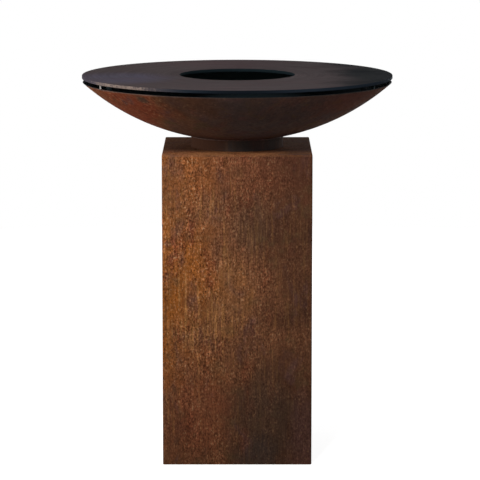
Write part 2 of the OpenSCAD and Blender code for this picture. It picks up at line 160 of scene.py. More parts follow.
class FinishColours(bpy.types.PropertyGroup):
    rust_light: colour("Rust, light", "Ochre grains and runs", (0.42, 0.23, 0.115))
    rust_orange: colour("Rust, orange", "Fresh orange rust", (0.205, 0.066, 0.014))
    rust_ochre: colour("Rust, ochre", "Runs of washed-out rust", (0.270, 0.122, 0.040))
    rust_brown: colour("Rust, brown", "Brown rust", (0.134, 0.053, 0.0245))
    rust_red: colour("Rust, red", "Reddish runs and patches", (0.150, 0.037, 0.018))
    rust_plum: colour("Rust, plum", "Purplish brown patina", (0.088, 0.042, 0.036))
    rust_olive: colour("Rust, olive", "Olive brown patina", (0.082, 0.048, 0.023))
    rust_umber: colour("Rust, umber", "Old dark rust", (0.052, 0.022, 0.013))
    # Grey-brown rust that also serves as the painted shade of the bowl's underside.
    grey_rust_and_shade: colour("Rust, ash", "Old grey-brown rust of the bowl", (0.064, 0.039, 0.034))
    # Pale rust, used as painted light on the bowl's rim, its low band and the collar.
    pale_dust_and_light: colour("Rust, dust", "Pale dust on the bowl", (0.098, 0.070, 0.060))
    # Dark scale that also serves as painted shade: on the collar under the bowl and on the bowl's top band.
    dark_scale_and_shade: colour("Rust, scale", "Dark scale on the collar", (0.036, 0.029, 0.027))
    # Painted light: the lit strip along the top's front edge.
    painted_light_strip: colour("Rust, edge", "Light rust along the top's front edge", (0.30, 0.120, 0.048))
    rust_moss: colour("Rust, moss", "Greenish grey patina low on the front", (0.046, 0.031, 0.022))
    rust_pit: colour("Rust, pit", "Pits and dark grains", (0.030, 0.011, 0.006))
    # Baked oil, made lighter by a painted sheen that stands for the plate's reflection.
    oil_with_painted_sheen: colour("Seasoning", "Baked oil on the plancha plate", (0.060, 0.046, 0.048))
    black_edge: colour("Edge", "Blue-black scale on the plate's edge", (0.0056, 0.0080, 0.0114))
    # Heat tint with a painted sheen, on the plate's left.
    violet_tint_and_sheen: colour("Violet tint", "Heat tint on the left of the plate", (0.085, 0.079, 0.120))
    russet: colour("Russet tint", "Reddish tint at the back of the plate", (0.086, 0.050, 0.054))
    # Plain steel of nicks, and the painted highlight of the lit front-left edge.
    bare_and_glints: colour("Bare steel", "Rubbed places on the plate's edge", (0.18, 0.138, 0.118))
    soot: colour("Soot", "Soot in the bowl and in the fire opening", (0.008, 0.0135, 0.0165))
    ash: colour("Ash", "Pale ash over soot, low in the bowl", (0.060, 0.068, 0.064))
    # Painted light: a paler teal on the far inside wall of the bowl.
    teal_painted_light: colour("Scorched steel", "Steel burnt clean, under the rim", (0.036, 0.062, 0.064))
    steel: colour("Bright steel", "Bolts, feet and knob", (0.50, 0.50, 0.49))
    pin: colour("Pin steel", "Stand-off pins, dulled by heat", (0.34, 0.32, 0.31))
    polymer: colour("Black polymer", "Foot pads and the magnet's block", (0.022, 0.022, 0.023))


class StageSettings(bpy.types.PropertyGroup):
    camera_back: length("Camera distance", "Distance of the camera in front of the object", 7.505)
    camera_side: length("Camera side", "Sideways place of the camera", 0.0075)
    camera_height: length("Camera height", "Height of the camera", 1.7875)
    pitch: FloatProperty(name="Pitch", description="How far the camera looks down",
                         default=math.radians(9.133), subtype="ANGLE", unit="ROTATION")
    lens: FloatProperty(name="Lens", description="Focal length in millimetres", default=208.6, unit="CAMERA")
    front: power("Front", "Power of the lamp in front", 43.0)
    left: power("Left", "Power of the low lamp on the left", 45.0)
    right: power("Right", "Power of the lamp on the right", 16.0)
    rear: power("Rear", "Power of the lamp behind, on the right", 30.0)
    room: FloatProperty(name="Room", description="Strength of the room's own light", default=0.22)


# Modelling by hand, in code

def deselect():
    if bpy.context.mode != "OBJECT":
        bpy.ops.object.mode_set(mode="OBJECT")
    bpy.ops.object.select_all(action="DESELECT")


def take(piece):
    """Makes a piece the only one that is selected, and the active one."""
    deselect()
    piece.select_set(True)
    bpy.context.view_layer.objects.active = piece


def open_mesh(piece):
    take(piece)
    bpy.ops.object.mode_set(mode="EDIT")
    bpy.ops.mesh.select_mode(type="VERT")
    bpy.ops.mesh.select_all(action="DESELECT")


def close_mesh():
    bpy.ops.object.mode_set(mode="OBJECT")


def pick_all():
    bpy.ops.mesh.select_all(action="SELECT")


def pick(kind, test):
    """In edit mode, selects each vertex, edge or face that passes the test, and nothing else."""
    bpy.ops.mesh.select_mode(type={"verts": "VERT", "edges": "EDGE", "faces": "FACE"}[kind])
    bpy.ops.mesh.select_all(action="DESELECT")
    piece = bpy.context.edit_object
    cage = bmesh.from_edit_mesh(piece.data)
    picked = [element for element in getattr(cage, kind) if test(element)]
    for element in picked:
        element.select_set(True)
    cage.select_flush_mode()
    bmesh.update_edit_mesh(piece.data)
    if not picked:
        raise RuntimeError(f"{piece.name}: no {kind} where they were expected")


def span(edge):
    return edge.verts[1].co - edge.verts[0].co


def merge():
    """In edit mode, selects everything and joins the points that meet."""
    pick_all()
    bpy.ops.mesh.remove_doubles(threshold=SAME_POINT)


def heal():
    """In edit mode, joins what meets and turns every face outwards."""
    merge()
    bpy.ops.mesh.normals_make_consistent(inside=False)


def settled(name):
    """Names the active piece, and puts its place, turn and size in its mesh."""
    piece = bpy.context.object
    piece.name = name
    bpy.ops.object.transform_apply(location=True, rotation=True, scale=True)
    return piece


def outline(points, name):
    """Draws a line of edges through the points, and leaves it open in edit mode."""
    deselect()
    bpy.ops.mesh.primitive_plane_add(size=MM, location=points[0])
    piece = settled(name)
    bpy.ops.object.mode_set(mode="EDIT")
    bpy.ops.mesh.select_mode(type="VERT")
    pick_all()
    bpy.ops.mesh.merge(type="CENTER")
    for before, after in zip(points, points[1:]):
        step = Vector(after) - Vector(before)
        bpy.ops.mesh.extrude_region_move(TRANSFORM_OT_translate={"value": step})
    return piece


def in_mm(*points):
    """Turns the points of a section, written in millimetres, into metres."""
    return [(radius * MM, height * MM) for radius, height in points]


def turned(name, section, steps, ring=False):
    """Turns a section of (radius, height) points round the upright axis. A ring's section is closed,
    and any other starts and ends on the axis."""
    points = [(radius, 0, height) for radius, height in section]
    piece = outline(points + points[:1] if ring else points, name)
    pick_all()
    bpy.ops.mesh.spin(steps=steps, angle=FULL_TURN, center=(0, 0, 0), axis=(0, 0, 1))
    heal()
    close_mesh()
    return piece


def block(name, corner, opposite):
    """A box between two corners, with its place in its mesh."""
    corner = Vector(corner)
    opposite = Vector(opposite)
    deselect()
    bpy.ops.mesh.primitive_cube_add(size=1, location=(corner + opposite) / 2)
    bpy.context.object.scale = opposite - corner
    return settled(name)


def rod(name, radius, bottom, top, sides, at=(0, 0)):
    """An upright cylinder or prism, with its place in its mesh."""
    deselect()
    bpy.ops.mesh.primitive_cylinder_add(vertices=sides, radius=radius, depth=top - bottom,
                                        location=(at[0], at[1], (top + bottom) / 2))
    return settled(name)


def modify(piece, kind, **settings):
    """Adds a modifier, sets it and applies it."""
    take(piece)
    modifier = piece.modifiers.new(kind.lower(), kind)
    for setting, value in settings.items():
        setattr(modifier, setting, value)
    bpy.ops.object.modifier_apply(modifier=modifier.name)


def ease(piece, width, segments=2, angle=35):
    """Rounds every edge that is sharper than the angle."""
    modify(piece, "BEVEL", width=width, segments=segments, limit_method="ANGLE",
           angle_limit=math.radians(angle), use_clamp_overlap=True, miter_outer="MITER_ARC")


def round_edges(piece, test, width, segments):
    """Rounds the edges that pass the test."""
    open_mesh(piece)
    pick("edges", test)
    bpy.ops.mesh.bevel(offset=width, segments=segments, affect="EDGES")
    close_mesh()


def folded(piece, sheet, cut_edge):
    """Gives a folded outside its sheet's thickness, inwards, and eases the cut edges."""
    modify(piece, "SOLIDIFY", thickness=sheet, offset=-1, use_even_offset=True)
    ease(piece, cut_edge, angle=60)


def discard(*pieces):
    for piece in pieces:
        bpy.data.objects.remove(piece)


def cut(piece, tool, how="DIFFERENCE"):
    """Cuts a piece with a tool, or trims it to the tool, and throws the tool away."""
    modify(piece, "BOOLEAN", object=tool, operation=how, solver="EXACT")
    discard(tool)


def twin(piece, move=(0, 0, 0), turn=(0, 0, 0)):
    """A copy with its own mesh, turned about the origin and moved."""
    take(piece)
    bpy.ops.object.duplicate(linked=False)
    return placed(bpy.context.object, move, turn)


def placed(piece, move=(0, 0, 0), turn=(0, 0, 0)):
    """Turns a piece about the origin, moves it, and puts its place in its mesh."""
    take(piece)
    piece.rotation_euler = turn
    piece.location = move
    return settled(piece.name)


def thirds(radius):
    """The angles and places of three pieces round the middle, the first of them at the back."""
    for turn in range(3):
        angle = math.pi / 2 + FULL_TURN * turn / 3
        yield angle, (radius * math.cos(angle), radius * math.sin(angle), 0)


def joined(pieces, name):
    deselect()
    for piece in pieces:
        piece.select_set(True)
    bpy.context.view_layer.objects.active = pieces[0]
    bpy.ops.object.join()
    return settled(name)


def finished(piece, body, finishes, *stands_for, name=None, angle=35):
    """Smooths a piece, gives it its finishes and sets it on its body. A piece that stands for no
    node is weld metal."""
    take(piece)
    piece.name = name or piece.name
    bpy.ops.object.shade_smooth_by_angle(angle=math.radians(angle))
    slots = [finishes] if isinstance(finishes, str) else finishes
    places = [polygon.material_index for polygon in piece.data.polygons]
    piece.data.materials.clear()
    for slot in slots:
        piece.data.materials.append(bpy.data.materials[slot])
    for polygon, place in zip(piece.data.polygons, places):
        polygon.material_index = min(place, len(slots) - 1)
    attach(piece, body)
    if stands_for:
        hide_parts(*stands_for)


def eased_node(node, width, body, finish, segments=2):
    """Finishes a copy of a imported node, with its loose triangles joined and its edges eased."""
    piece = bpy.data.objects.new(node + "_eased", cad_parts[node].data.copy())
    bpy.context.scene.collection.objects.link(piece)
    open_mesh(piece)
    merge()
    bpy.ops.mesh.dissolve_limited(angle_limit=math.radians(0.5))
    close_mesh()
    ease(piece, width, segments)
    finished(piece, body, finish, node)


def threaded(name, radius, pitch, bottom, top, steps=24):
    """A threaded rod with closed ends."""
    root = radius - pitch * 0.6
    start = bottom - 2 * pitch
    turns = math.ceil((top - bottom) / pitch) + 4
    ridge = ((root, 0), (root, 0.12), (radius, 0.44), (radius, 0.56), (root, 0.88), (root, 1))
    piece = outline([(reach, 0, start + pitch * share) for reach, share in ridge], name)
    close_mesh()
    modify(piece, "SCREW", axis="Z", angle=FULL_TURN, screw_offset=pitch, iterations=turns,
           steps=steps, render_steps=steps, use_merge_vertices=True, merge_threshold=SAME_POINT)
    open_mesh(piece)
    merge()
    for height, inner in ((bottom, True), (top, False)):
        pick_all()
        bpy.ops.mesh.bisect(plane_co=(0, 0, height), plane_no=(0, 0, 1), use_fill=True,
                            clear_inner=inner, clear_outer=not inner, threshold=SAME_POINT / 2)
    heal()
    close_mesh()
    return piece


def ring_bead(name, radius, height, size, pitch):
    """A weld bead that runs all the way round, with its ripples."""
    angles = [FULL_TURN * side / 8 for side in range(8)]
    section = [(radius + size * math.cos(a), height + size * math.sin(a)) for a in angles]
    steps = 2 * round(math.pi * radius / pitch)
    piece = turned(name, section, steps, ring=True)
    open_mesh(piece)
    pick("verts", lambda v: round(math.atan2(v.co.y, v.co.x) / FULL_TURN * steps) % 2 == 0)
    bpy.ops.transform.shrink_fatten(value=-size * 0.16)
    close_mesh()
    return piece


def line_bead(start, end, size, pitch):
    """A straight weld bead with ripples and round ends."""
    line = Vector(end) - Vector(start)
    reach = line.length
    cuts = max(4, 2 * round(reach / pitch / 2))
    ripple = reach / cuts
    piece = rod("bead", size, 0, reach, 8)
    open_mesh(piece)
    pick("edges", lambda e: abs(span(e).normalized().z) > 0.9)
    bpy.ops.mesh.subdivide(number_cuts=cuts - 1)
    pick("verts", lambda v: round(v.co.z / ripple) % 2 == 1)
    bpy.ops.transform.resize(value=(0.84, 0.84, 1), center_override=(0, 0, 0))
    for z in (0, reach):
        pick("verts", lambda v: abs(v.co.z - z) < ripple / 4)
        bpy.ops.transform.resize(value=(0.45, 0.45, 1), center_override=(0, 0, z))
    close_mesh()
    take(piece)
    piece.rotation_mode = "QUATERNION"
    piece.rotation_quaternion = line.to_track_quat("Z", "Y")
    piece.location = start
    return settled(piece.name)


# Finishes

def feed(tree, socket, value):
    """Links a socket to another one, or sets its value."""
    if isinstance(value, bpy.types.NodeSocket):
        tree.links.new(value, socket)
    elif socket.type == "RGBA":
        socket.default_value = (*value, 1)
    else:
        socket.default_value = value


def add_node(tree, kind, inputs, output=0, **settings):
    """Adds a node, sets it, feeds its inputs and gives one of its outputs."""
    node = tree.nodes.new("ShaderNode" + kind)
    for setting, value in settings.items():
        setattr(node, setting, value)
    for socket, value in inputs.items():
        feed(tree, node.inputs[socket], value)
    return node.outputs[output]


class Finish:
    """One material's nodes, built from the few kinds that these finishes share."""

    def __init__(self, name, tone, roughness, metallic=0.0, specular=0.5):
        self.material = bpy.data.materials.new(name)
        self.material.use_nodes = True
        self.tree = self.material.node_tree
        self.shader = self.tree.nodes["Principled BSDF"]
        for socket, value in (("Base Color", tone), ("Roughness", roughness), ("Metallic", metallic),
                              ("Specular IOR Level", specular)):
            feed(self.tree, self.shader.inputs[socket], value)
        self.place = self.node("TexCoord", {}, "Object")

    def node(self, kind, inputs, output=0, **settings):
        return add_node(self.tree, kind, inputs, output, **settings)

    def sum(self, kind, first, second=0.0, clamp=False):
        return self.node("Math", {0: first, 1: second}, operation=kind, use_clamp=clamp)

    def plus(self, first, second):
        return self.sum("ADD", first, second)

    def times(self, first, second):
        return self.sum("MULTIPLY", first, second)

    def stretched(self, x, y, z, vector=None):
        return self.node("VectorMath", {0: vector or self.place, 1: (x, y, z)}, operation="MULTIPLY")

    def shifted(self, x, y, z, vector=None):
        return self.node("VectorMath", {0: vector or self.place, 1: (x, y, z)}, operation="ADD")

    def distance(self, centre, vector=None):
        return self.node("VectorMath", {0: vector or self.place, 1: centre}, "Value", operation="DISTANCE")

    def scaled(self, colours, factor):
        return self.node("VectorMath", {0: colours, "Scale": factor}, operation="SCALE")

    def parts(self):
        return self.node("SeparateXYZ", {0: self.place}).node.outputs

    def vector(self, x, y, z):
        return self.node("CombineXYZ", {0: x, 1: y, 2: z})

    def noise(self, size, vector=None, detail=2.0, rough=0.5, wander=0.0):
        """Noise whose features are about as wide as the size, in metres."""
        inputs = {"Vector": vector or self.place, "Scale": 1 / size, "Detail": detail,
                  "Roughness": rough, "Distortion": wander}
        return self.node("TexNoise", inputs, "Fac")

    def step(self, value, start, end, low=0.0, high=1.0):
        """Goes smoothly from low to high as the value goes from start to end."""
        if start > end:
            start, end, low, high = end, start, high, low
        inputs = {"Value": value, "From Min": start, "From Max": end, "To Min": low, "To Max": high}
        return self.node("MapRange", inputs, "Result", interpolation_type="SMOOTHSTEP")

    def mix(self, share, first, second):
        return self.node("Mix", {0: share, 6: first, 7: second}, 2, data_type="RGBA")

    def layer(self, skin, tone, value, start, end, most=1.0):
        """Lays a tone over the skin, up to the most, as the value goes from start to end."""
        return self.mix(self.step(value, start, end, 0.0, most), skin, tone)

    def ramp(self, value, *stops):
        """A colour that runs through (place, colour) stops as the value goes from 0 to 1."""
        tone = self.node("ValToRGB", {"Fac": value}, "Color")
        elements = tone.node.color_ramp.elements
        while len(elements) < len(stops):
            elements.new(0.5)
        for element, (place, shade) in zip(elements, stops):
            element.position = place
            element.color = (*shade, 1)
        return tone

    def spot(self, centre, wide, tall, uneven=0.0):
        """1 in the middle of a round or upright spot and 0 outside it."""
        place = self.shifted(*(-value for value in centre))
        away = self.distance((0, 0, 0), self.stretched(1 / wide, 1 / wide, 1 / tall, place))
        return self.step(self.plus(away, uneven), 1.0, 0.30)

    def blend(self, *shares):
        """The sum of (value, weight) pairs, each value taken from its middle, 0.5."""
        total = 0.0
        for value, weight in shares:
            total = self.plus(total, self.times(self.sum("SUBTRACT", value, 0.5), weight))
        return total

    def wear(self, skin, roughness, height, depth):
        """Feeds the shader its colour, its roughness and a relief of that depth in metres."""
        normal = self.node("Bump", {"Distance": depth, "Strength": 1.0, "Height": height}, "Normal")
        for socket, value in (("Base Color", skin), ("Roughness", roughness), ("Normal", normal)):
            feed(self.tree, self.shader.inputs[socket], value)


def rust_finish(name, tones, grain=4 * MM, run=1.7, aged=0.0, contrast=1.0, patchy=1.0, fresh=None,
                old=None, painted_shades=(), marks=(), brim=0.0):
    """Weathering steel. grain is the width of its grains, run how far they are drawn out downwards,
    aged how dark it is, and patchy how much its patches show. fresh and old are its youngest and
    oldest colours. Each painted shade is an axis, two places on it and how much darker the colour is
    painted from the first to the second; the axis called across is x on the front face and 0
    elsewhere. Each of the marks is a centre, a half width, a half height, a colour and how strongly it
    covers. brim is the height of an upper edge that takes a painted highlight, paler where the painted
    shade leaves it lit, if there is one."""
    made = Finish(name, tones.rust_brown, 0.9, specular=0.02)
    axes = dict(zip("xyz", made.parts()))
    # across carries painted shade from left to right, on the front face alone.
    front = made.step(axes["y"], 4.5 * MM - HALF_SIDE, 0.5 * MM - HALF_SIDE)
    axes["across"] = made.times(axes["x"], front)
    broad = made.noise(0.19)
    patches = made.noise(0.065, made.stretched(1, 1, 0.6), 4, 0.6, 0.6)
    blots = made.noise(0.045, made.shifted(3.1, 1.7, 0.4), 3, 0.6)
    stains = made.noise(0.050, made.stretched(1, 1, 0.35, made.shifted(7.7, 4.2, 1.9)), 4, 0.6)
    streaks = made.noise(grain * 1.5, made.stretched(1, 1, 0.10), 2, 0.55, 0.3)
    drawn = made.stretched(1, 1, 1 / run)
    clumps = made.noise(grain * 2.6, drawn, 2, 0.6)
    runs = made.noise(6.5 * MM, made.stretched(1, 1, 0.06, made.shifted(2.2, 9.1, 0.5)), 3, 0.6)
    grains = made.noise(grain, drawn, 1, 0.7)
    flecks = made.noise(grain * 1.05, made.shifted(5.3, 2.9, 7.7, drawn), 1)

    tone = made.plus(aged, made.blend((broad, 1.0), (patches, 0.7)))
    # light is the share that the painted shade leaves lit: the shade darkens the tone, and the red patches,
    # washed runs and the rim's painted highlight show less where light is low.
    light = 1.0
    for axis, start, end, amount in painted_shades:
        darker = made.times(made.step(axes[axis], start, end, 0, amount), light)
        tone = made.plus(tone, darker)
        light = made.sum("SUBTRACT", light, darker)
    skin = made.ramp(made.sum("ADD", tone, 0.0, clamp=True), (0.0, fresh or tones.rust_orange),
                     (0.42, tones.rust_brown), (1.0, old or tones.rust_umber))
    reddened = made.times(made.step(stains, 0.53, 0.66, 0.0, 0.70 * patchy), light)
    skin = made.mix(reddened, skin, tones.rust_red)
    skin = made.layer(skin, tones.rust_plum, patches, 0.55, 0.72, 0.60 * patchy)
    skin = made.layer(skin, tones.rust_olive, blots, 0.54, 0.72, 0.50 * patchy)
    washed = made.plus(runs, made.blend((broad, 0.5), (stains, -0.3)))
    bleached = made.times(made.step(washed, 0.54, 0.70, 0.0, 0.75 * contrast), light)
    skin = made.mix(bleached, skin, tones.rust_ochre)
    uneven = made.blend((patches, 1.2), (stains, 1.2))
    for centre, wide, tall, tint, cover in marks:
        skin = made.mix(made.times(made.spot(centre, wide, tall, uneven), cover), skin, tint)
    # Painted highlight: a pale line along the upper edge, paler where the painted shade leaves it lit.
    if brim:
        bright_edge_place = made.plus(axes["z"], made.blend((stains, 4 * MM)))
        pale = made.mix(light, tones.pale_dust_and_light * 0.6, tones.pale_dust_and_light * 1.7)
        skin = made.layer(skin, pale, bright_edge_place, brim - 4.0 * MM, brim - 2.5 * MM, 0.60)

    strength = made.times(made.step(tone, 0.35, 1.0, contrast, 0.55 * contrast),
                          made.step(made.blend((stains, 1.0), (blots, -0.8)), -0.16, 0.16, 0.62, 1.32))
    speckle = made.blend((grains, 0.95), (clumps, 0.45), (streaks, 0.36))
    skin = made.scaled(skin, made.sum("POWER", 16.0, made.times(speckle, strength)))
    crowded = made.plus(flecks, made.blend((streaks, 0.25), (clumps, 0.20)))
    bright = made.times(made.step(crowded, 0.59, 0.76, 0.0, 0.60), strength)
    skin = made.mix(bright, skin, made.scaled(tones.rust_light, made.step(tone, 0.0, 1.1, 1.0, 0.40)))
    pitted = made.plus(flecks, made.blend((blots, -0.35), (clumps, 0.15)))
    dark = made.times(made.step(pitted, 0.42, 0.28, 0.0, 0.75), strength)
    skin = made.mix(dark, skin, tones.rust_pit)
    height = made.blend((grains, 0.6), (clumps, 0.3), (flecks, 0.5))
    made.wear(skin, made.step(flecks, 0.3, 0.7, 0.96, 0.82), height, 0.8 * MM * contrast)


def soot_finish(name, tones, ashes):
    """Soot over burnt steel, with flakes and a little rust. ashes is how much ash lies in its low
    places."""
    made = Finish(name, tones.soot, 0.9, specular=0.1)
    cloud = made.noise(0.06, detail=5, rough=0.65)
    flakes = made.noise(7 * MM, detail=4, rough=0.7)
    depth = made.plus(made.parts()[2], made.blend((cloud, 0.12)))
    skin = made.layer(tones.soot, tones.ash, depth, 0.90, 0.84, ashes)
    # Painted light: a paler teal patch high on the far inside wall, behind the fire opening, in the plate's
    # shade; it grows with the ash setting.
    far_wall_light = made.spot((0, 0.385, 0.988), 0.24, 0.036, made.blend((cloud, 0.5)))
    skin = made.mix(made.times(far_wall_light, ashes), skin, tones.teal_painted_light)
    skin = made.layer(skin, tones.rust_umber, cloud, 0.54, 0.74, 0.14)
    skin = made.layer(skin, tones.rust_olive, flakes, 0.60, 0.75, 0.07)
    made.wear(skin, made.step(flakes, 0.3, 0.7, 0.95, 0.80), flakes, 0.8 * MM)


def seasoned_finish(name, tones, opening):
    """Carbon steel under baked oil: satin, with heat tints, rings of wiping and nicks on its edge. Its colour
    carries a painted sheen, lighter and bluish-purple on the left, a painted shade at its right end and a
    painted highlight on its front-left edge.
    """
    # The shader reflects almost nothing; the sheen is painted into the colour.
    made = Finish(name, tones.oil_with_painted_sheen, 0.6, specular=0.006)
    face = round(PLATE_TOP, 3)
    x, y = made.parts()[:2]
    reach = made.distance((0, 0, 0), made.vector(x, y, 0.0))
    swirl = [made.times(made.sum("DIVIDE", axis, made.sum("MAXIMUM", reach, 0.01)), 0.35) for axis in (x, y)]
    rings = made.noise(7.5 * MM, made.stretched(0.05, 0.05, 1.0, made.vector(*swirl, reach)), 3, 0.6)
    wiped = made.noise(0.060, made.stretched(0.45, 1.0, 1.0), 3, 0.55, 0.5)
    pores = made.noise(3 * MM, rough=0.6)
    heat = made.noise(0.14, made.shifted(1.3, 0.4, 0), 3)

    # Heat tint and painted sheen: lighter and bluish-purple on the left of the plate.
    violet_tint_and_sheen = made.times(made.step(made.distance((-0.32, -0.10, face)), 0.19, 0.04),
                        made.step(heat, 0.25, 0.65, 0.5, 1.0))
    russet = made.times(made.step(made.distance((-0.04, 0.36, face)), 0.26, 0.05),
                        made.step(heat, 0.3, 0.7, 0.5, 1.0))
    skin = made.mix(made.times(violet_tint_and_sheen, 0.8), tones.oil_with_painted_sheen, tones.violet_tint_and_sheen)
    skin = made.mix(made.times(russet, 0.7), skin, tones.russet)
    skin = made.layer(skin, tones.russet, wiped, 0.55, 0.75, 0.30)
    # Painted shade: the plate's right end darkens to near black.
    dark_right_end = made.plus(x, made.blend((heat, 0.16), (wiped, 0.05)))
    skin = made.layer(skin, tones.black_edge * 0.4, dark_right_end, 0.195, 0.345)
    worn = made.times(made.spot((-0.17, 0.22, face), 0.22, 0.22), 0.20)
    varied = made.plus(made.blend((rings, 1.0), (wiped, 0.6)), worn)
    skin = made.scaled(skin, made.sum("POWER", 2.5, varied))
    ring_radius = 0.272
    off_ring = made.sum("ABSOLUTE", made.sum("SUBTRACT", reach, ring_radius))
    scratched = made.spot((0.185, 0.195, face), 0.08, 0.08)
    scratch = made.times(made.step(off_ring, 3 * MM, 1 * MM), scratched)
    skin = made.mix(made.times(scratch, 0.6), skin, tones.black_edge)

    skin = made.layer(skin, tones.soot, reach, opening + 0.8 * MM, opening + 0.2 * MM)
    # Painted light and shade on the edge: lighter towards the sides and at the front left, darker at the
    # front middle.
    rim = made.step(reach, PLATE_RADIUS - 1.2 * MM, PLATE_RADIUS - 0.6 * MM)
    scale = made.scaled(tones.black_edge, made.step(made.sum("ABSOLUTE", x), 0.02, 0.20, 0.85, 2.2))
    skin = made.mix(made.times(rim, made.step(x, -0.27, -0.11, 0.25, 1.0)), skin, scale)
    # Nicks of plain steel gather at the lit front left: wear, and a painted highlight.
    nick = made.noise(6 * MM, made.stretched(1, 1, 0.7), 3, 0.7)
    bright_edge_place = made.step(made.distance((-0.315, -0.277, 1.031)), 0.19, 0.05, 0.0, 0.40)
    bare_and_glints = made.step(made.plus(nick, bright_edge_place), 0.66, 1.02)
    skin = made.mix(made.times(rim, bare_and_glints), skin, tones.bare_and_glints)
    height = made.plus(made.times(pores, 0.5), made.times(rings, 0.5))
    made.wear(skin, made.step(wiped, 0.35, 0.70, 0.66, 0.80), height, 0.08 * MM)


def steel_finish(name, tones, shade, metallic=1.0, specular=0.5, right_shade=0.0):
    """Turned or drawn stainless steel, a little dulled by the weather. Its last setting is how much
    darker its right-hand pieces are painted, towards the colour of soot: painted shade."""
    made = Finish(name, shade, 0.35, metallic, specular)
    drawn = made.noise(1.6 * MM, made.stretched(1, 1, 0.25), rough=0.6)
    dull = made.noise(12 * MM, detail=3, rough=0.6)
    skin = made.layer(shade, tones.rust_olive, dull, 0.52, 0.72, 0.45)
    # Painted shade: pieces on the right are darkened towards soot.
    black = made.step(made.parts()[0], -0.1, 0.2, 0.0, right_shade)
    skin = made.mix(black, skin, tones.soot)
    roughness = made.plus(made.step(dull, 0.35, 0.70, 0.30, 0.52), made.times(black, 0.4))
    made.wear(skin, roughness, drawn, 0.03 * MM)


def polymer_finish(name, tones):
    """Moulded black polymer with a fine texture and dusty places."""
    made = Finish(name, tones.polymer, 0.6, specular=0.4)
    leather = made.noise(0.9 * MM, rough=0.6)
    dust = made.noise(16 * MM, detail=4, rough=0.65)
    skin = made.layer(tones.polymer, tones.rust_olive, dust, 0.52, 0.74, 0.25)
    made.wear(skin, made.step(dust, 0.35, 0.70, 0.55, 0.80), leather, 0.06 * MM)


def weld_finish(name, tones):
    """Weld metal that has rusted over, in patches."""
    made = Finish(name, tones.rust_plum, 0.6, specular=0.4)
    scale = made.noise(4 * MM, detail=3, rough=0.6)
    skin = made.layer(tones.rust_pit, tones.rust_plum, scale, 0.40, 0.62)
    skin = made.layer(skin, tones.rust_orange, scale, 0.60, 0.74, 0.6)
    made.wear(skin, made.step(scale, 0.35, 0.70, 0.50, 0.85), scale, 0.25 * MM)


